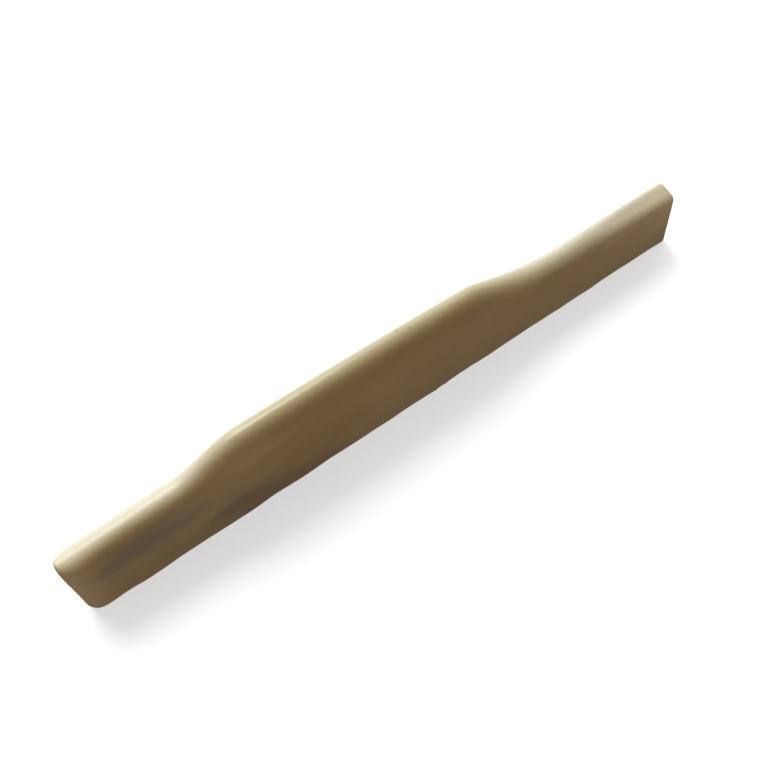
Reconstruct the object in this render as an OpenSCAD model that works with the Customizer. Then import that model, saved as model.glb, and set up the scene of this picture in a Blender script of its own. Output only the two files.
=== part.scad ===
// Bone folder carved from one flat strip of bone.
// It stands on its long straight edge: X runs along the edge, Y across the thickness and Z up.
// The origin is under the middle of the blade, on the surface that the straight edge stands on.

/* [Blank] */
// Length of the straight edge
length = 150; // [130:1:180]
// Thickness between the two broad faces
thickness = 5.4; // [4:0.1:8]

/* [Outline] */
// Height of the near wing at its square end
near_end_h = 16; // [14:0.1:17]
// Height of the near wing where it meets the belly
near_root_h = 17.1; // [16:0.1:19]
// Height of the belly at its two shoulders
shoulder_h = 21.4; // [19:0.1:25]
// Extra height in the middle of the belly, which bows slightly
belly_bow = 0.4; // [0:0.1:1.5]
// Height of the far wing where the belly has run out into it
far_root_h = 15.9; // [13:0.1:18]
// Height of the far wing at its leaning end
far_end_h = 15.5; // [13:0.1:18]
// How far the top of the far end leans back over the base
far_lean = 3.8; // [0:0.1:5]
// How much further the far end reaches on its back face than on its front face
far_skew = 0.9; // [0:0.1:3]
// How much lower the top's front edge is than its back edge at the far end
far_drop = 1.5; // [0:0.1:2.5]

/* [Stations along the edge] */
// Where the near wing starts to rise into the belly
rise_from = 20.5; // [16:0.5:26]
// Where the belly's near shoulder is
rise_to = 35; // [30:0.5:45]
// Where the belly's far shoulder is
fall_from = 87; // [75:0.5:95]
// Where the belly has run out into the far wing
fall_to = 113.5; // [105:0.5:120]

/* [Rounded top] */
// Depth of the rounded top on the near wing
near_crown_d = 2.8; // [1.5:0.1:4]
// Depth of the rounded top on the belly
belly_crown_d = 3.6; // [2:0.1:6]
// Depth of the rounded top where the far wing starts
far_crown_d = 2.3; // [0.6:0.1:3]
// Depth of the rounded top at the far wing's tip
tip_crown_d = 1.5; // [0.6:0.1:3]
// Squareness of the top on the near wing and belly, 2 being an ellipse
round_power = 2; // [1.8:0.1:3]
// Squareness of the top where the far wing starts
far_power = 2.2; // [1.8:0.1:5]
// Squareness of the top at the far wing's tip
tip_power = 3.4; // [1.8:0.1:5]

/* [Edges and ends] */
// Radius along both sides of the straight edge
base_r = 0.6; // [0.3:0.1:1.2]
// Length of the near end's bull nose, seen from above
near_nose = 3; // [1.5:0.1:5]
// Radius of the near end's lower corner, seen from the side
near_base_corner = 2.1; // [1:0.1:4]
// Radius of the near end's upper corner, seen from the side
near_top_corner = 0.5; // [0.2:0.1:2]
// Radius of the far end's lower corner and upright edges
far_base_corner = 1; // [0.4:0.1:2]
// Radius of the far end's upper corner
far_top_corner = 0.4; // [0.2:0.1:2]

/* [Hidden] */

near_blunt = 0.4;       // share of the thickness left flat at the near end
far_blunt = 0.8;        // share of the thickness left flat at the far end
fall_ease = 1.3;        // how softly the belly breaks away at its far shoulder
fall_tail = 2.2;        // how quickly that slope dies out into the far wing
blend_over = 6;         // reach of the section's change of shape beyond each rise or fall
blank_spare = 1;        // what the sawn blank is larger by on every side
station_gap = 2.5;      // distance between sections in the long middle stretch
crown_n = 10;           // steps from a broad face up to the top line
base_n = 4;             // steps around the rounding beside the base
near_n = 9;             // sections in the near end's bull nose
far_n = 6;              // sections in the far end's rounding

near_run = max(near_nose, near_base_corner, near_top_corner);
far_run = max(far_base_corner, far_top_corner);
top_h = max(shoulder_h + belly_bow, near_root_h, far_root_h, far_end_h);

// Share of the way from a to b, between 0 and 1
function share(x, a, b) = max(0, min(1, (x - a) / (b - a)));

// Smooth step from 0 at a to 1 at b
function ease(x, a, b) = let (s = share(x, a, b)) s * s * (3 - 2 * s);

// Blend of three values along the blade: near wing, belly and far wing
function along(x, near, belly, far) =
    near + (belly - near) * ease(x, rise_from - blend_over, rise_to + blend_over / 2)
         + (far - belly) * ease(x, fall_from - blend_over / 2, fall_to);

// Blend of two values over the far wing, from its start to its tip
function over_wing(x, start, tip) = start + (tip - start) * ease(x, fall_to, length);

// Height of each stretch of the outline above the straight edge, before its corners are rounded
function near_h(x) = near_end_h + (near_root_h - near_end_h) * x / rise_from;
function rise_h(x) = near_root_h + (shoulder_h - near_root_h) * ease(x, rise_from, rise_to);
function belly_h(x) = shoulder_h + belly_bow * sin(180 * share(x, rise_to, fall_from));
function far_h(x) =
    let (fall = share(x, fall_from, fall_to), tip = share(x, fall_to, length))
    far_root_h
        + (shoulder_h - far_root_h) * pow(1 - pow(fall, fall_ease), fall_tail)
        + (far_end_h - far_root_h) * tip * tip;
function outline_h(x) =
    x < rise_from ? near_h(x)
    : x < rise_to ? rise_h(x)
    : x < fall_from ? belly_h(x)
    : far_h(x);

// How far a corner arc of radius r cuts in at distance s from the end, 0 once past the arc
function arc_cut(s, r) = s >= r ? 0 : r - sqrt(max(0, r * r - (r - s) * (r - s)));

function base_z(x) = arc_cut(x, near_base_corner) + arc_cut(length - x, far_base_corner);
function top_z(x) =
    outline_h(x) - arc_cut(x, near_top_corner) - arc_cut(length - x, far_top_corner);

// Half thickness, which narrows to a blunt nose at each end
function nose(s, r, blunt) = 1 - (1 - blunt) * arc_cut(s, r) / r;
function half_t(x) =
    thickness / 2
        * nose(x, near_nose, near_blunt)
        * nose(length - x, far_base_corner, far_blunt);

// One upright half of a section, from the base up to the top line, as [y, z]
function half_section(x) =
    let (
        low = base_z(x),
        high = top_z(x),
        w = half_t(x),
        r = min(base_r, 0.6 * w),
        far_d = over_wing(x, far_crown_d, tip_crown_d),
        far_p = over_wing(x, far_power, tip_power),
        d = min(along(x, near_crown_d, belly_crown_d, far_d), 0.6 * (high - low)),
        p = along(x, round_power, round_power, far_p)
    )
    concat(
        [for (k = [0 : base_n]) let (a = 90 * k / base_n)
            [w - r + r * sin(a), low + r - r * cos(a)]],
        [for (k = [0 : crown_n]) let (a = 90 * k / crown_n)
            [w * pow(cos(a), 2 / p), high - d + d * pow(sin(a), 2 / p)]]
    );

// A whole section in its place: sections drop, lean and skew more and more towards the far end
function section(x) =
    let (
        side = half_section(x),
        top = len(side) - 1,
        ring = concat(side, [for (k = [top - 1 : -1 : 0]) [-side[k][0], side[k][1]]]),
        drop = far_drop * x / length / outline_h(x),
        lean = far_lean * x / length / outline_h(x),
        skew = far_skew * x / length
    )
    [for (q = ring)
        let (back = q[0] / thickness, z = q[1] * (1 + drop * back))
        [x - length / 2 - lean * (z - far_base_corner) - skew * (1 / 2 - back), q[0], z]];

// Places of the sections: close together in the rounded ends, evenly spaced in between
middle = length - near_run - far_run;
middle_n = ceil(middle / station_gap);
stations = concat(
    [for (k = [0 : near_n - 1]) near_run * (1 - cos(90 * k / near_n))],
    [for (k = [0 : middle_n]) near_run + middle * k / middle_n],
    [for (k = [1 : far_n]) length - far_run * (1 - sin(90 * k / far_n))]
);

// Closed skin over a run of rings that all have the same number of points
module skin(rings) {
    n = len(rings[0]);
    m = len(rings);
    polyhedron(
        points = [for (ring = rings) for (q = ring) q],
        faces = concat(
            [[for (j = [0 : n - 1]) j]],
            [[for (j = [n - 1 : -1 : 0]) (m - 1) * n + j]],
            [for (i = [0 : m - 2]) for (j = [0 : n - 1])
                let (a = i * n + j, b = i * n + (j + 1) % n)
                [a, a + n, b + n, b]]
        ),
        convexity = 4
    );
}

// The sawn strip of bone, with its allowance still on
module blank() {
    translate([-length / 2 - blank_spare, -thickness / 2 - blank_spare, -blank_spare])
        cube([length, thickness, top_h] + 2 * blank_spare * [1, 1, 1]);
}

// Carving the blade out of the blank leaves the base and each broad face as one flat face
module folder_blade() {
    color([0.57, 0.46, 0.26])
        intersection() {
            blank();
            skin([for (x = stations) section(x)]);
        }
}

folder_blade();
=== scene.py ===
"""Bone folder: the visible blade, its polished bone, and a plain studio around it.

Lengths in this script are millimetres until a mesh, light or camera is made, which is in metres.
The blade's own length runs from its near, bull-nosed end (0) to its far, leaning end.
"""

import math

import bmesh
import bpy
import numpy as np
from mathutils import Matrix, Vector, noise


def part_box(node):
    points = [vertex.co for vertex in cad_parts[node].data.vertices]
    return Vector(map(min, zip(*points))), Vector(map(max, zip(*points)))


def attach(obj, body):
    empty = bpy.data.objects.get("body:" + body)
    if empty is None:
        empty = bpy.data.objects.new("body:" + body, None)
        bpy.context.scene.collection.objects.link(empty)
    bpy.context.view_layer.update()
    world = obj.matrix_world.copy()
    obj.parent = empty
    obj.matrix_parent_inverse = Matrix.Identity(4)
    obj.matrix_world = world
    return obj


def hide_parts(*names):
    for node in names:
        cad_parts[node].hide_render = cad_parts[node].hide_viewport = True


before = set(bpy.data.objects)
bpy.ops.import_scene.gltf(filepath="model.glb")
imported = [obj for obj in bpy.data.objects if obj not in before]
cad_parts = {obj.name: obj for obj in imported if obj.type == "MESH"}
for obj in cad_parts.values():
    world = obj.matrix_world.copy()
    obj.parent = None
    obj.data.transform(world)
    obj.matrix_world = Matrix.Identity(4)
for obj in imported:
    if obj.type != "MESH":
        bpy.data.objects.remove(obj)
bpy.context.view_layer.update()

MM = 0.001
LOW, HIGH = (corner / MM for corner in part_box("folder_blade"))
LENGTH = HIGH.x - LOW.x
THICKNESS = HIGH.y - LOW.y

# ---------------------------------------------------------------- outline of the blade

# Heights above the straight edge of the near wing, the belly and the far wing
NEAR_END_H = 16.0
NEAR_ROOT_H = 17.1
SHOULDER_H = 21.4
BELLY_BOW = 0.4
FAR_ROOT_H = 15.9
FAR_END_H = 15.5
# How far the far end leans back over the base, is skewed, and drops towards the front
FAR_LEAN = 3.8
FAR_SKEW = 0.9
FAR_DROP = 1.5

# Where the belly rises and falls, and how
RISE_FROM, RISE_TO = 20.5, 35.0
FALL_FROM, FALL_TO = 87.0, 113.5
FALL_EASE, FALL_TAIL = 1.3, 2.2
BLEND_OVER = 6.0

# Depth and squareness of the rounded top
NEAR_CROWN_D, BELLY_CROWN_D, FAR_CROWN_D, TIP_CROWN_D = 2.8, 3.6, 2.3, 1.5
ROUND_POWER, FAR_POWER, TIP_POWER = 2.0, 2.2, 3.4

# Rounded ends, corners and lower edges
NEAR_NOSE, NEAR_BLUNT = 3.0, 0.4
FAR_BLUNT = 0.8
NEAR_BASE_CORNER, NEAR_TOP_CORNER = 2.1, 0.5
FAR_BASE_CORNER, FAR_TOP_CORNER = 1.0, 0.4
BASE_R = 0.6


def share(x, a, b):
    """Share of the way from a to b, between 0 and 1."""
    return np.clip((x - a) / (b - a), 0, 1)


def ease(x, a, b):
    """Smooth step from 0 at a to 1 at b."""
    s = share(x, a, b)
    return s * s * (3 - 2 * s)


def along(x, near, belly, far):
    """Blend of a near-wing, a belly and a far-wing value."""
    up = ease(x, RISE_FROM - BLEND_OVER, RISE_TO + BLEND_OVER / 2)
    down = ease(x, FALL_FROM - BLEND_OVER / 2, FALL_TO)
    return near + (belly - near) * up + (far - belly) * down


def over_wing(x, start, tip):
    """Blend of two values over the far wing, from its start to its tip."""
    return start + (tip - start) * ease(x, FALL_TO, LENGTH)


def outline_h(x):
    """Height of the outline above the straight edge, before its corners are rounded."""
    near = NEAR_END_H + (NEAR_ROOT_H - NEAR_END_H) * x / RISE_FROM
    rise = NEAR_ROOT_H + (SHOULDER_H - NEAR_ROOT_H) * ease(x, RISE_FROM, RISE_TO)
    belly = SHOULDER_H + BELLY_BOW * np.sin(np.pi * share(x, RISE_TO, FALL_FROM))
    fall = (1 - share(x, FALL_FROM, FALL_TO) ** FALL_EASE) ** FALL_TAIL
    tip = share(x, FALL_TO, LENGTH) ** 2
    far = FAR_ROOT_H + (SHOULDER_H - FAR_ROOT_H) * fall + (FAR_END_H - FAR_ROOT_H) * tip
    return np.select([x < RISE_FROM, x < RISE_TO, x < FALL_FROM], [near, rise, belly], far)


def arc_cut(s, r):
    """How far a corner arc of radius r cuts in at distance s from the end."""
    inside = np.maximum(r - s, 0)
    return r - np.sqrt(np.maximum(r * r - inside * inside, 0))


def nose(s, r, blunt):
    """Share of the half thickness that is left at distance s from an end."""
    return 1 - (1 - blunt) * arc_cut(s, r) / r


# ---------------------------------------------------------------- dense mesh of the blade

# Gap between sections, and numbers of steps in the ends and round a section
STATION_GAP = 0.3
NEAR_STEPS, FAR_STEPS = 16, 10
CROWN_STEPS, SIDE_STEPS, ARC_STEPS, BASE_STEPS = 24, 26, 5, 8
MOST_ROUNDED = 0.6      # share of a section's half thickness or height that a rounding may take
ARRIS_WAVE, ARRIS_WANDER, ARRIS_LEAST, ARRIS_SEED = 7.0, 0.5, 0.2, 3.7
CAP_BULGE = 0.12


def stations():
    """Places of the sections: close together in the rounded ends, even in between."""
    turn_in = 1 - np.cos(np.linspace(0, np.pi / 2, NEAR_STEPS, endpoint=False))
    turn_out = np.sin(np.linspace(0, np.pi / 2, FAR_STEPS + 1))[1:]
    middle_n = math.ceil((LENGTH - NEAR_NOSE - FAR_BASE_CORNER) / STATION_GAP)
    middle = np.linspace(NEAR_NOSE, LENGTH - FAR_BASE_CORNER, middle_n + 1)
    return np.concatenate([
        NEAR_NOSE * turn_in,
        middle,
        LENGTH - FAR_BASE_CORNER * (1 - turn_out),
    ])


def half_sections(x):
    """One upright half of every section, from the base's edge up to the top line."""
    far_s = LENGTH - x
    low = arc_cut(x, NEAR_BASE_CORNER) + arc_cut(far_s, FAR_BASE_CORNER)
    high = outline_h(x) - arc_cut(x, NEAR_TOP_CORNER) - arc_cut(far_s, FAR_TOP_CORNER)
    w = THICKNESS / 2 * nose(x, NEAR_NOSE, NEAR_BLUNT) * nose(far_s, FAR_BASE_CORNER, FAR_BLUNT)
    r = np.minimum(arris_radius(x), MOST_ROUNDED * w)
    far_d = over_wing(x, FAR_CROWN_D, TIP_CROWN_D)
    far_p = over_wing(x, FAR_POWER, TIP_POWER)
    crown_d = along(x, NEAR_CROWN_D, BELLY_CROWN_D, far_d)
    d = np.minimum(crown_d, MOST_ROUNDED * (high - low))
    p = along(x, ROUND_POWER, ROUND_POWER, far_p)
    low, high, w, r, d, p = (v[:, None] for v in (low, high, w, r, d, p))

    arc = np.linspace(0, np.pi / 2, ARC_STEPS + 1)[None]
    up = np.linspace(0, 1, SIDE_STEPS + 1)[None, 1:-1]
    crown = np.linspace(0, np.pi / 2, CROWN_STEPS + 1)[None]
    y = np.concatenate([
        w - r + r * np.sin(arc),
        w + 0 * up,
        w * np.clip(np.cos(crown), 0, 1) ** (2 / p),
    ], axis=1)
    z = np.concatenate([
        low + r - r * np.cos(arc),
        low + r + (high - d - low - r) * up,
        high - d + d * np.sin(crown) ** (2 / p),
    ], axis=1)
    return y, z


def arris_radius(x):
    """The rounding beside the straight edge was rubbed by hand, so its radius wanders."""
    wander = [noise.noise(Vector((v / ARRIS_WAVE, ARRIS_SEED, 0))) for v in x]
    return np.maximum(BASE_R + ARRIS_WANDER * np.array(wander), ARRIS_LEAST)


def set_askew(x, y, z):
    """Sections drop, lean and skew more and more towards the far end. Returns x and z."""
    drop, lean = (amount * x / LENGTH / outline_h(x) for amount in (FAR_DROP, FAR_LEAN))
    skew = FAR_SKEW * x / LENGTH
    back = y / THICKNESS
    z = z * (1 + drop * back)
    return x - lean * (z - FAR_BASE_CORNER) - skew * (0.5 - back), z


def skin_points(x):
    """Rings of points round every section: base, back side, top line, front side."""
    side_y, side_z = half_sections(x)
    across = np.linspace(-1, 1, BASE_STEPS + 1)[None, 1:-1]
    base_y = side_y[:, :1] * across
    base_z = side_z[:, :1] + 0 * across
    ring_y = np.concatenate([base_y, side_y, -side_y[:, -2::-1]], axis=1)
    ring_z = np.concatenate([base_z, side_z, side_z[:, -2::-1]], axis=1)
    ring_x, ring_z = set_askew(x[:, None], ring_y, ring_z)
    return np.stack([ring_x, ring_y, ring_z], axis=-1)


def ring_faces(ring_n, size):
    """Quads between neighbouring rings, with their faces pointing inwards."""
    i = np.arange(ring_n - 1)[:, None] * size
    j = np.arange(size)[None]
    k = (j + 1) % size
    quads = np.stack([i + j, i + size + j, i + size + k, i + k], axis=-1)
    return quads.reshape(-1, 4).tolist()


def cap(ring, start, next_index, x_out):
    """Closes one end with rows across the thickness, its faces pointing inwards.

    Returns the end's new points and faces."""
    base_n = BASE_STEPS - 1
    side_n = (len(ring) - base_n - 1) // 2
    right = [base_n + k for k in range(side_n)]
    left = [len(ring) - 1 - k for k in range(side_n)]
    top = base_n + side_n
    points, rows = [], []
    for row, (a, b) in enumerate(zip(right, left)):
        if row == 0:    # the base's own points
            inner = [start + k for k in range(base_n - 1, -1, -1)]
        else:
            inner = []
            for k in range(1, BASE_STEPS):
                across = k / BASE_STEPS
                bulge = CAP_BULGE * math.sin(math.pi * across) * math.sin(math.pi * row / side_n)
                point = ring[a] * (1 - across) + ring[b] * across
                points.append(point + np.array([x_out * bulge, 0, 0]))
                inner.append(next_index + len(points) - 1)
        rows.append([start + a, *inner, start + b])
    faces = []
    for lower, upper in zip(rows, rows[1:]):
        for k in range(BASE_STEPS):
            faces.append([lower[k], upper[k], upper[k + 1], lower[k + 1]])
    for k in range(BASE_STEPS):
        faces.append([rows[-1][k], start + top, rows[-1][k + 1]])
    if x_out > 0:
        faces = [face[::-1] for face in faces]
    return points, faces


def blade_mesh():
    """The whole skin. Known fault: all its faces point inwards."""
    x = stations()
    rings = skin_points(x)
    ring_n, size = rings.shape[:2]
    points = rings.reshape(-1, 3)
    faces = ring_faces(ring_n, size)
    near_points, near_faces = cap(rings[0], 0, len(points), -1)
    last_ring, next_index = (ring_n - 1) * size, len(points) + len(near_points)
    far_points, far_faces = cap(rings[-1], last_ring, next_index, 1)
    points = np.concatenate([points, near_points, far_points])
    points += np.array([LOW.x, 0, LOW.z])
    mesh = bpy.data.meshes.new("folder_blade_visual")
    mesh.from_pydata((points * MM).tolist(), [], faces + near_faces + far_faces)
    mesh.validate()
    mesh.update()
    return mesh


# ---------------------------------------------------------------- marks of hand work

# Waves and file facets: depth, and length along, across and up the blade
UNDULATION, UNDULATION_WAVE = 0.07, Vector((17.0, 6.0, 8.0))
FILE_FACET, FILE_FACET_WAVE = 0.035, Vector((9.0, 2.2, 2.2))
FILE_FACET_SHIFT = Vector((50.0, 0.0, 0.0))
# Waver of the lower edge: depths, length, and height at which it has died out
FOOT_WAVER_NEAR, FOOT_WAVER_FAR = 0.55, 0.18
FOOT_WAVE, FOOT_H, FOOT_SEED = 6.0, 3.0, 20.0
# Nicks: distance from the near end, reach and depth
NICKS = [(75.4, 0.8, 0.20), (78.0, 0.6, 0.16), (84.0, 0.9, 0.09), (61.0, 1.1, 0.06)]
NICK_REACHES, NICK_RISE = 3.0, 0.3


def waves(point, wave):
    return noise.noise(Vector((point.x / wave.x, point.y / wave.y, point.z / wave.z)))


def surface_waves(point):
    """How far filing and rubbing move the surface along its normals."""
    facets = FILE_FACET * waves(point + FILE_FACET_SHIFT, FILE_FACET_WAVE)
    return UNDULATION * (waves(point, UNDULATION_WAVE) - 0.5) + facets


def nick_depth(point, normal):
    """How far the nicks move the surface against its normals, where those point upwards."""
    depth = 0.0
    for place, reach, deepest in NICKS:
        away = (point.x - LOW.x - place) / reach
        if abs(away) < NICK_REACHES and normal.z > NICK_RISE:
            depth += deepest * math.exp(-away * away) * normal.z
    return depth


def foot_draw(point):
    """How far the lower edge is drawn in towards the middle of the thickness."""
    foot = max(0, 1 - (point.z - LOW.z) / FOOT_H) ** 2
    side = math.copysign(FOOT_SEED, point.y)
    waver = max(0, noise.noise(Vector((point.x / FOOT_WAVE, side, 0))))
    return foot * waver * along(point.x - LOW.x, FOOT_WAVER_NEAR, FOOT_WAVER_FAR, FOOT_WAVER_FAR)


def hand_work(mesh):
    """Moves the surface by about a tenth of a millimetre, and by more at the lower edge.

    Known fault: the normals point inwards. So the waves come out reversed, and the nicks push
    out the rounding beside the straight edge and don't cut the top line.
    """
    moved = []
    for vertex in mesh.vertices:
        point = vertex.co / MM
        normal = vertex.normal.copy()
        point += normal * (surface_waves(point) - nick_depth(point, normal))
        point.y *= 1 - foot_draw(point) / (THICKNESS / 2)
        point.z = max(point.z, LOW.z)
        moved.append(point * MM)
    for vertex, place in zip(mesh.vertices, moved):
        vertex.co = place
    mesh.update()


# ---------------------------------------------------------------- node helpers


def towards(azimuth, elevation):
    """Unit vector of a compass direction, counted from +Y towards +X, and a height in degrees."""
    a, e = math.radians(azimuth), math.radians(elevation)
    return Vector((math.sin(a) * math.cos(e), math.cos(a) * math.cos(e), math.sin(e)))


class Tree:
    """A short way to write the node tree of a material or world."""

    def __init__(self, owner):
        owner.use_nodes = True
        self.nodes = owner.node_tree.nodes
        self.links = owner.node_tree.links
        self.nodes.clear()

    def node(self, kind, inputs=None, **settings):
        n = self.nodes.new("ShaderNode" + kind)
        for key, value in settings.items():
            setattr(n, key, value)
        for key, value in (inputs or {}).items():
            if isinstance(value, bpy.types.NodeSocket):
                self.links.new(value, n.inputs[key])
            else:
                n.inputs[key].default_value = value
        return n

    def math(self, operation, a, b=0.0, clamp=False):
        return self.node("Math", {0: a, 1: b}, operation=operation, use_clamp=clamp).outputs[0]

    def add(self, total, value, weight):
        return self.math("ADD", total, self.math("MULTIPLY", value, weight))

    def mix(self, factor, a, b):
        return self.node("Mix", {0: factor, 6: a, 7: b}, data_type="RGBA").outputs[2]

    def facing(self, vector, direction):
        """1 where the vector points in this direction, 0 where it is square to it."""
        inputs = {0: vector, 1: direction}
        return self.node("VectorMath", inputs, operation="DOT_PRODUCT").outputs["Value"]

    def spread(self, value, low, high, to_low=0.0, to_high=1.0):
        """Smooth step from to_low, where the value is low, to to_high, where it is high."""
        inputs = {
            "Value": value,
            "From Min": low,
            "From Max": high,
            "To Min": to_low,
            "To Max": to_high,
        }
        return self.node("MapRange", inputs, interpolation_type="SMOOTHSTEP").outputs["Result"]

    def stretched(self, coords, sizes_mm, shift=(0, 0, 0)):
        """Object coordinates in which a feature of these sizes has size 1."""
        scale = [1 / (s * MM) for s in sizes_mm]
        inputs = {"Vector": coords, "Scale": scale, "Location": shift}
        return self.node("Mapping", inputs).outputs[0]

    def cloud(self, coords, sizes_mm, detail, shift=(0, 0, 0), roughness=0.55):
        """Noise whose biggest features have about these sizes."""
        vector = self.stretched(coords, sizes_mm, shift)
        inputs = {"Vector": vector, "Scale": 1.0, "Detail": detail, "Roughness": roughness}
        return self.node("TexNoise", inputs).outputs["Fac"]


# ---------------------------------------------------------------- polished bone

BONE_PALE = (0.61, 0.475, 0.25, 1)
BONE_TAN = (0.56, 0.425, 0.21, 1)
BONE_WARM = (0.57, 0.41, 0.19, 1)
# Painted highlight along the top, where it faces up and back towards the lamp: pale on the wings,
# olive on the belly
TOP_HIGHLIGHT_PALE = (0.82, 0.78, 0.62, 1)
TOP_HIGHLIGHT_OLIVE = (0.55, 0.535, 0.355, 1)
# Painted half-light: grey where the top turns from the lamp into shade
HALF_LIT_GREY = (0.53, 0.49, 0.36, 1)
# Paler colour: painted light on the tips, and the pale patches
PALE_AND_LIT = (0.93, 0.76, 0.48, 1)
GRAIN_DARK = (0.38, 0.29, 0.16, 1)
GRAIN_PALE = (0.74, 0.65, 0.45, 1)
BROWN = (0.34, 0.252, 0.16, 1)
# Darker grey for patches on the front of the near wing
DARK_GREY = (0.33, 0.285, 0.25, 1)
HONEY = (0.50, 0.37, 0.13, 1)
PORE_TINT = (0.30, 0.22, 0.14, 1)

# Clouds of noise: size of a feature in mm along, across and up the blade
MOTTLE = {"sizes_mm": (26, 9, 7), "detail": 4}
WARMTH = {"sizes_mm": (18, 8, 9), "detail": 2, "shift": (9, 4, 1)}
GRAIN = {"sizes_mm": (16, 0.55, 0.45), "detail": 5, "roughness": 0.6}
THREADS = {"sizes_mm": (9, 0.16, 0.16), "detail": 3, "roughness": 0.6}
SCRATCHES = {"sizes_mm": (6, 0.09, 0.09), "detail": 3, "shift": (2, 5, 8)}
POLISH = {"sizes_mm": (11, 3, 3), "detail": 3, "shift": (1, 7, 3)}
# Noise that breaks up the painted highlight along the top
HIGHLIGHT_SPECKLE = {"sizes_mm": (1.8, 0.45, 0.45), "detail": 2, "shift": (4, 2, 6)}
PATCH_WANDER = {"sizes_mm": (7, 4, 3), "detail": 2, "shift": (3, 1, 2)}
PORE_FIELDS = {"sizes_mm": (22, 6, 7), "detail": 2}

# Spreads: noise from the first value to the second gives an amount from the third to the fourth
PALE_SPREAD = (0.30, 0.70)
WARM_SPREAD = (0.45, 0.75, 0, 0.5)
GRAIN_SPREAD = (0.35, 0.75, 0, 0.22)
THREAD_SPREAD = (0.55, 0.80, 0, 0.18)
POLISH_SPREAD = (0.3, 0.7, 0.30, 0.42)
PORE_FIELD_SPREAD = (0.42, 0.62)

# Pores: size of a cell in mm, how much it is bent, rim and core of a canal, and which cells have one
PORE_CELL, PORE_BEND, PORE_BEND_DETAIL = (3.4, 0.55, 0.55), 0.6, 1.0
PORE_RIM, PORE_CORE, PORE_CHANCE = 0.20, 0.06, 0.88
PORE_STAIN = 0.5

PORE_ROUGHNESS, BROWN_ROUGHNESS = 0.3, 0.06
SCRATCH_RELIEF, GRAIN_RELIEF, PORE_RELIEF = 0.35, 0.8, -1.6
RELIEF_STRENGTH, RELIEF_DEPTH = 0.35, 0.03

# Patches: centre in mm from the near end, the middle of the thickness and the base;
# reach in mm along, across and up; and strength
FRONT, BACK = LOW.y, HIGH.y
BROWN_PATCHES = [
    ((17.0, FRONT, 3.5), (15.0, 2.6, 7.0), 0.30),
    ((31.5, FRONT, 4.2), (11.0, 2.6, 6.8), 0.95),
    ((44.0, FRONT, 2.0), (12.0, 2.6, 6.0), 0.62),
    ((77.0, FRONT, 0.5), (15.0, 2.2, 2.8), 0.20),
    ((46.0, BACK, 12.0), (17.0, 2.2, 3.8), 0.30),
    ((104.0, BACK, 3.5), (20.0, 2.2, 3.4), 0.40),
]
PALE_PATCHES = [
    ((34.0, FRONT, 17.6), (10.0, 2.6, 4.4), 0.32),
    ((98.0, FRONT, 16.6), (10.0, 2.6, 3.8), 0.26),
    ((128.0, FRONT, 14.5), (24.0, 2.6, 3.0), 0.32),
]
# Darker grey patches on the front of the near wing
DARK_GREY_PATCHES = [
    ((14.0, FRONT, 11.2), (12.5, 2.6, 5.0), 0.80),
    ((6.0, FRONT, 9.0), (8.0, 2.6, 6.5), 0.20),
]
PITS = [
    ((67.3, 0.9, 21.6), (0.6, 0.6, 0.6), 0.60),
    ((69.6, 0.0, 21.7), (0.5, 0.5, 0.5), 0.55),
]
HONEY_PATCHES = [
    ((49.0, FRONT, 8.5), (15.0, 2.6, 6.0), 0.80),
    ((82.0, BACK, 11.0), (22.0, 2.6, 6.0), 0.35),
]
# Where a patch ends and is full, as shares of its reach, and how far its edge wanders
PATCH_RIM, PATCH_CORE, PATCH_WAVER = 1.1, 0.1, 0.9

# Tips painted paler, as painted light: strength, and reach or start in mm from the near end; it
# fades towards the base
NEAR_TIP_PALE, NEAR_TIP_REACH = 0.70, 7.0
FAR_TIP_PALE, FAR_PALE_FROM, FAR_PALE_POWER = 1.3, 103.0, 3.0
PALE_FOOT, PALE_FOOT_H, PALE_FULL_H = 0.1, 1.0, 14.5
# Painted shade along the foot, darker towards the straight edge: strength at the base, and height at
# which it has faded out
FOOT_SHADE, FOOT_SHADE_H = 0.33, 9.0

# Painted highlight along the top, where it faces up and back towards the lamp: its lean towards the
# back in degrees, rise of the surface that it needs, how squarely the surface faces it where the
# pale starts and is full, and its strengths
HIGHLIGHT_LEAN, HIGHLIGHT_RISE = 25.0, 0.4
HIGHLIGHT_EDGE, HIGHLIGHT_FULL, HIGHLIGHT_FAR_EDGE = 0.3, 0.95, 0.62
HIGHLIGHT_BELLY, HIGHLIGHT_WINGS = 0.55, 0.88
# Noise that leaves the painted highlight speckled, and the least of the highlight that it leaves
# near and far
HIGHLIGHT_SPECKLE_FROM, HIGHLIGHT_SPECKLE_TO = 0.35, 0.60
LEAST_LIT_NEAR, LEAST_LIT_FAR = 0.86, 0.62
# Painted half-light: greyer where the top turns from the lamp into shade, across the top and along
# the far wing
GREY_ACROSS, GREY_ALONG = (0.10, 0.45), (0.4, 1, 0, 0.6)


def place_of(tree, coords):
    """Distance from the near end and height above the base, in mm."""
    place = tree.node("SeparateXYZ", {"Vector": coords}).outputs
    along_x = tree.math("SUBTRACT", tree.math("DIVIDE", place["X"], MM), LOW.x)
    return along_x, tree.math("DIVIDE", place["Z"], MM)


def patch_mask(tree, coords, patches):
    """Soft patches with wandering edges."""
    wander = tree.math("SUBTRACT", tree.cloud(coords, **PATCH_WANDER), 0.5)
    total = 0.0
    for centre, reach, strength in patches:
        middle = Vector(centre) + Vector((LOW.x, 0, LOW.z))
        around = tree.stretched(coords, reach, [-m / r for m, r in zip(middle, reach)])
        away = tree.node("VectorMath", {0: around}, operation="LENGTH").outputs["Value"]
        away = tree.add(away, wander, PATCH_WAVER)
        patch = tree.spread(away, PATCH_RIM, PATCH_CORE, 0, strength)
        total = tree.math("ADD", patch, total, clamp=True)
    return total


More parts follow.
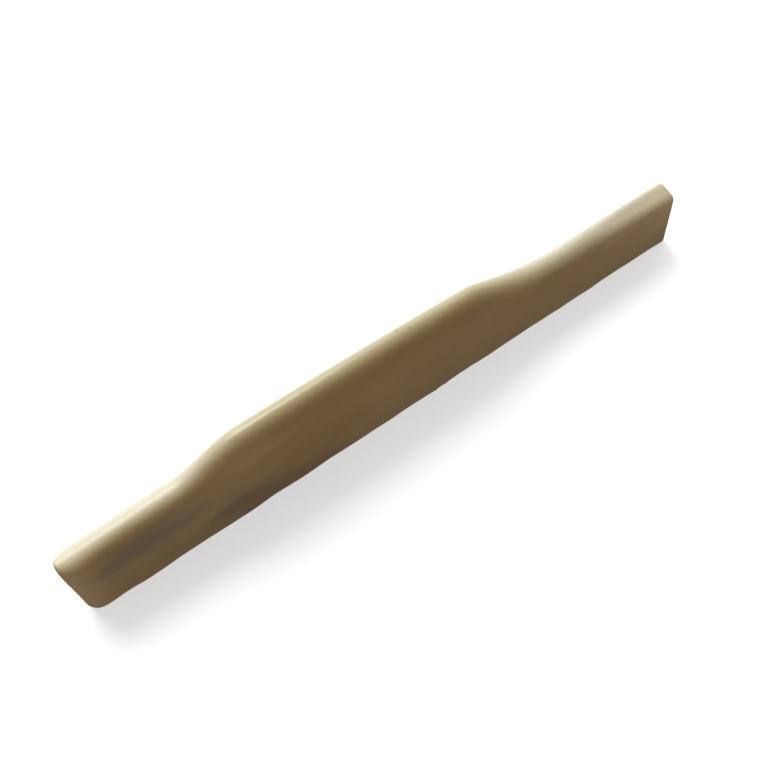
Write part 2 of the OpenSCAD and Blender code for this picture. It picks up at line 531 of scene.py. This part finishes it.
def painted_foot_shade(tree, coords):
    """Painted shade: bone painted darker towards the straight edge."""
    height = place_of(tree, coords)[1]
    return tree.spread(height, FOOT_SHADE_H, 0, 0, FOOT_SHADE)


def highlight_side(tree):
    """How squarely the surface faces up and back towards the lamp of the painted highlight, fading
    to 0 where it stands upright.

    Known fault: a render turns the inward normals round, but a bake doesn't, so a baked model
    has the painted highlight along its base and not along its top.
    """
    normal = tree.node("TexCoord").outputs["Normal"]
    facing = tree.facing(normal, towards(0, 90 - HIGHLIGHT_LEAN))
    rise = tree.node("SeparateXYZ", {"Vector": normal}).outputs["Z"]
    return tree.math("MULTIPLY", facing, tree.spread(rise, 0, HIGHLIGHT_RISE))


def highlight_amount(tree, coords, side, wings, far):
    """Strength of the painted highlight, which noise leaves a little speckled."""
    edge = tree.spread(far, 0, 1, HIGHLIGHT_EDGE, HIGHLIGHT_FAR_EDGE)
    amount = tree.spread(side, edge, HIGHLIGHT_FULL)
    strength = tree.spread(wings, 0, 1, HIGHLIGHT_BELLY, HIGHLIGHT_WINGS)
    least = tree.spread(far, 0, 1, LEAST_LIT_NEAR, LEAST_LIT_FAR)
    speckled = tree.spread(tree.cloud(coords, **HIGHLIGHT_SPECKLE), HIGHLIGHT_SPECKLE_FROM, HIGHLIGHT_SPECKLE_TO, least, 1)
    return tree.math("MULTIPLY", tree.math("MULTIPLY", amount, strength), speckled)


def painted_top_highlight(tree, coords, colour):
    """Painted highlight: bone painted pale along the rounded top of the wings, and olive along the
    belly's, where the top faces the lamp.
    """
    side = highlight_side(tree)
    along_x = place_of(tree, coords)[0]
    near = tree.spread(along_x, RISE_TO + BLEND_OVER, RISE_FROM)
    far = tree.spread(along_x, FALL_FROM, FALL_TO)
    wings = tree.math("ADD", near, far)
    # Painted half-light: grey where the far wing's top turns from the lamp into shade
    grey = tree.math("MULTIPLY", tree.spread(side, *GREY_ACROSS), tree.spread(far, *GREY_ALONG))
    colour = tree.mix(grey, colour, HALF_LIT_GREY)
    amount = highlight_amount(tree, coords, side, wings, far)
    return tree.mix(amount, colour, tree.mix(wings, TOP_HIGHLIGHT_OLIVE, TOP_HIGHLIGHT_PALE))


def pale_and_lit_mask(tree, coords):
    """Paler colour at the near tip, below the shoulders and in the upper part of the far tip; at the
    tips it is painted light, the far tip paler the higher up.
    """
    along_x, height = place_of(tree, coords)
    near = tree.spread(along_x, NEAR_TIP_REACH, 0, 0, NEAR_TIP_PALE)
    far = tree.math("SUBTRACT", along_x, FAR_PALE_FROM)
    far = tree.math("DIVIDE", far, LENGTH - FAR_PALE_FROM)
    far = tree.math("POWER", tree.math("MAXIMUM", far, 0), FAR_PALE_POWER)
    far = tree.math("MULTIPLY", far, FAR_TIP_PALE)
    upper = tree.spread(height, PALE_FOOT_H, PALE_FULL_H, PALE_FOOT, 1)
    far = tree.math("MULTIPLY", far, upper)
    tips = tree.math("ADD", near, far, clamp=True)
    return tree.math("ADD", tips, patch_mask(tree, coords, PALE_PATCHES), clamp=True)


def pore_mask(tree, coords):
    """Cut canals of the bone: short dark threads on the faces, dots on the ends."""
    cells = tree.stretched(coords, PORE_CELL)
    inputs = {"Vector": cells, "Scale": PORE_BEND, "Detail": PORE_BEND_DETAIL}
    bend = tree.node("TexNoise", inputs).outputs["Color"]
    bent = tree.node("VectorMath", {0: cells, 1: bend}, operation="ADD").outputs[0]
    cell = tree.node("TexVoronoi", {"Vector": bent, "Scale": 1.0}, feature="F1").outputs
    canal = tree.spread(cell["Distance"], PORE_RIM, PORE_CORE)
    chance = tree.node("SeparateColor", {"Color": cell["Color"]}).outputs[0]
    canal = tree.math("MULTIPLY", canal, tree.math("GREATER_THAN", chance, PORE_CHANCE))
    fields = tree.spread(tree.cloud(coords, **PORE_FIELDS), *PORE_FIELD_SPREAD)
    return tree.math("MULTIPLY", canal, fields)


def bone_colour(tree, coords, grain, brown, pores):
    """Mottled bone, then its grain, its patches with paler tips partly painted as light and painted
    shade along the foot, the painted highlight along its top, and its pits and pores.
    """
    pale = tree.spread(tree.cloud(coords, **MOTTLE), *PALE_SPREAD)
    warm = tree.spread(tree.cloud(coords, **WARMTH), *WARM_SPREAD)
    threads = tree.spread(tree.cloud(coords, **THREADS), *THREAD_SPREAD)
    colour = tree.mix(pale, BONE_TAN, BONE_PALE)
    colour = tree.mix(warm, colour, BONE_WARM)
    colour = tree.mix(patch_mask(tree, coords, HONEY_PATCHES), colour, HONEY)
    colour = tree.mix(tree.spread(grain, *GRAIN_SPREAD), colour, GRAIN_DARK)
    colour = tree.mix(threads, colour, GRAIN_PALE)
    # Tips painted paler as painted light, and the pale patches
    colour = tree.mix(pale_and_lit_mask(tree, coords), colour, PALE_AND_LIT)
    # Brown patches, and painted shade along the foot
    colour = tree.mix(brown, colour, BROWN)
    # Darker grey patches on the front of the near wing
    colour = tree.mix(patch_mask(tree, coords, DARK_GREY_PATCHES), colour, DARK_GREY)
    # Painted highlight along the top, where it faces the lamp
    colour = painted_top_highlight(tree, coords, colour)
    colour = tree.mix(patch_mask(tree, coords, PITS), colour, PORE_TINT)
    return tree.mix(tree.math("MULTIPLY", pores, PORE_STAIN), colour, PORE_TINT)


def bone_roughness(tree, coords, brown, pores):
    """Uneven hand polish, duller in the pores, on the brown patches and on the foot with its painted
    shade.
    """
    roughness = tree.spread(tree.cloud(coords, **POLISH), *POLISH_SPREAD)
    roughness = tree.add(roughness, pores, PORE_ROUGHNESS)
    return tree.add(roughness, brown, BROWN_ROUGHNESS)


def bone_relief(tree, coords, grain, pores):
    """Relief too fine for the mesh: scratches, grain and open pores."""
    relief = tree.math("MULTIPLY", tree.cloud(coords, **SCRATCHES), SCRATCH_RELIEF)
    relief = tree.add(relief, grain, GRAIN_RELIEF)
    relief = tree.add(relief, pores, PORE_RELIEF)
    inputs = {"Height": relief, "Strength": RELIEF_STRENGTH, "Distance": RELIEF_DEPTH * MM}
    return tree.node("Bump", inputs).outputs[0]


def polished_bone():
    material = bpy.data.materials.new("polished_bone")
    tree = Tree(material)
    coords = tree.node("TexCoord").outputs["Object"]
    grain = tree.cloud(coords, **GRAIN)
    brown = patch_mask(tree, coords, BROWN_PATCHES)
    # Brown patches, and painted shade along the foot
    brown = tree.math("ADD", brown, painted_foot_shade(tree, coords), clamp=True)
    pores = pore_mask(tree, coords)
    shader = tree.node("BsdfPrincipled", {
        "Base Color": bone_colour(tree, coords, grain, brown, pores),
        "Roughness": bone_roughness(tree, coords, brown, pores),
        "Normal": bone_relief(tree, coords, grain, pores),
        "IOR": 1.55,
        "Subsurface Weight": 0.12,
        "Subsurface Radius": (1.0, 0.62, 0.34),
        "Subsurface Scale": 0.8 * MM,
        "Coat Weight": 0.15,
        "Coat Roughness": 0.18,
    })
    tree.node("OutputMaterial", {"Surface": shader.outputs[0]})
    return material


# ---------------------------------------------------------------- the blade


def make_blade():
    mesh = blade_mesh()
    hand_work(mesh)
    mesh.materials.append(polished_bone())
    for face in mesh.polygons:
        face.use_smooth = True
    blade = bpy.data.objects.new("blade", mesh)
    bpy.context.scene.collection.objects.link(blade)
    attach(blade, "root")
    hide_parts("folder_blade")
    return blade


# ---------------------------------------------------------------- studio

# Camera: the way it looks and how far it looks down, in degrees; its place in mm; its nearest
# visible distance in metres
CAMERA_AZIMUTH, CAMERA_ELEVATION, CAMERA_ROLL = 38.12, 53.79, -0.27
CAMERA_AT = Vector((-60.77, -61.98, 118.91))
CAMERA_LENS, SENSOR, CAMERA_NEAREST = 33.33, 36.0, 0.01

# Lamp, floor and backdrop: angles in degrees, distances and sizes in metres, power in watts
KEY_AZIMUTH, KEY_ELEVATION = -5.0, 54.0
KEY_DISTANCE, KEY_SIZE, KEY_POWER = 0.7, 0.45, 2.86
KEY_COLOUR = (1.0, 0.985, 0.95)
ROOM_LIGHT = (0.230, 0.187, 0.142, 1)
WALL_LIGHT = (1.35, 1.45, 1.45, 1)
WALL_AZIMUTH, WALL_ELEVATION = 32.0, 10.0
WALL_EDGE, WALL_FULL = 0.25, 0.95
BACKDROP_WHITE = (1.0, 1.0, 1.0, 1)
BACKDROP_RADIUS, BACKDROP_SEGMENTS, BACKDROP_RINGS = 1.1, 48, 24
FLOOR_WHITE = (0.9, 0.9, 0.9, 1)
FLOOR_GLOW = (0.51, 0.54, 0.57, 1)
FLOOR_SIZE = 2.4
BLACK = (0, 0, 0, 1)


def make_camera():
    forward = towards(CAMERA_AZIMUTH, -CAMERA_ELEVATION)
    level = towards(CAMERA_AZIMUTH + 90, 0)
    roll = math.radians(CAMERA_ROLL)
    right = level * math.cos(roll) - level.cross(forward) * math.sin(roll)
    up = right.cross(forward)
    camera = bpy.data.objects.new("camera", bpy.data.cameras.new("camera"))
    turn = Matrix((right, up, -forward)).transposed().to_4x4()
    camera.matrix_world = Matrix.Translation(CAMERA_AT * MM) @ turn
    camera.data.lens = CAMERA_LENS
    camera.data.sensor_width = SENSOR
    camera.data.clip_start = CAMERA_NEAREST
    bpy.context.scene.collection.objects.link(camera)
    bpy.context.scene.camera = camera


def make_key():
    """One big soft lamp high behind the blade: the top edge is lit and the front is in shade."""
    direction = towards(KEY_AZIMUTH, KEY_ELEVATION)
    lamp = bpy.data.lights.new("key", "AREA")
    lamp.shape = "DISK"
    lamp.size = KEY_SIZE
    lamp.energy = KEY_POWER
    lamp.color = KEY_COLOUR
    key = bpy.data.objects.new("key", lamp)
    key.location = direction * KEY_DISTANCE
    key.rotation_mode = "QUATERNION"
    key.rotation_quaternion = direction.to_track_quat("Z", "Y")
    bpy.context.scene.collection.objects.link(key)


def make_room():
    """Dim warm light from all round, and a bright wall low behind the blade."""
    world = bpy.data.worlds.new("room")
    tree = Tree(world)
    coords = tree.node("TexCoord").outputs["Generated"]
    facing = tree.facing(coords, towards(WALL_AZIMUTH, WALL_ELEVATION))
    light = tree.mix(tree.spread(facing, WALL_EDGE, WALL_FULL), ROOM_LIGHT, WALL_LIGHT)
    background = tree.node("Background", {"Color": light})
    tree.node("OutputWorld", {"Surface": background.outputs[0]})
    bpy.context.scene.world = world


def pale_material(name, white, glow):
    """White paper that glows a little, so that shadows on it stay light."""
    material = bpy.data.materials.new(name)
    tree = Tree(material)
    shader = tree.node("BsdfPrincipled", {
        "Base Color": white,
        "Roughness": 0.8,
        "Specular IOR Level": 0.0,
        "Emission Color": glow,
        "Emission Strength": 1.0,
    })
    tree.node("OutputMaterial", {"Surface": shader.outputs[0]})
    return material


def add_to_stage(mesh, material):
    """Scenery that the camera sees but that throws no light or reflection on the blade."""
    mesh.materials.append(material)
    piece = bpy.data.objects.new(mesh.name, mesh)
    piece.visible_diffuse = False
    piece.visible_glossy = False
    bpy.context.scene.collection.objects.link(piece)
    return piece


def make_floor():
    half = FLOOR_SIZE / 2
    mesh = bpy.data.meshes.new("floor")
    corners = [(-half, -half, 0), (half, -half, 0), (half, half, 0), (-half, half, 0)]
    mesh.from_pydata(corners, [], [(0, 1, 2, 3)])
    add_to_stage(mesh, pale_material("pale_floor", FLOOR_WHITE, FLOOR_GLOW))


def make_backdrop():
    """A pale dome far away, which closes the picture when the blade is seen from low down."""
    work = bmesh.new()
    bmesh.ops.create_uvsphere(
        work, u_segments=BACKDROP_SEGMENTS, v_segments=BACKDROP_RINGS, radius=BACKDROP_RADIUS)
    mesh = bpy.data.meshes.new("backdrop")
    work.to_mesh(mesh)
    work.free()
    backdrop = add_to_stage(mesh, pale_material("pale_backdrop", BLACK, BACKDROP_WHITE))
    backdrop.visible_shadow = False
    backdrop.visible_transmission = False


make_camera()
make_key()
make_room()
make_floor()
make_backdrop()
make_blade()
bpy.context.scene.view_settings.view_transform = "Standard"
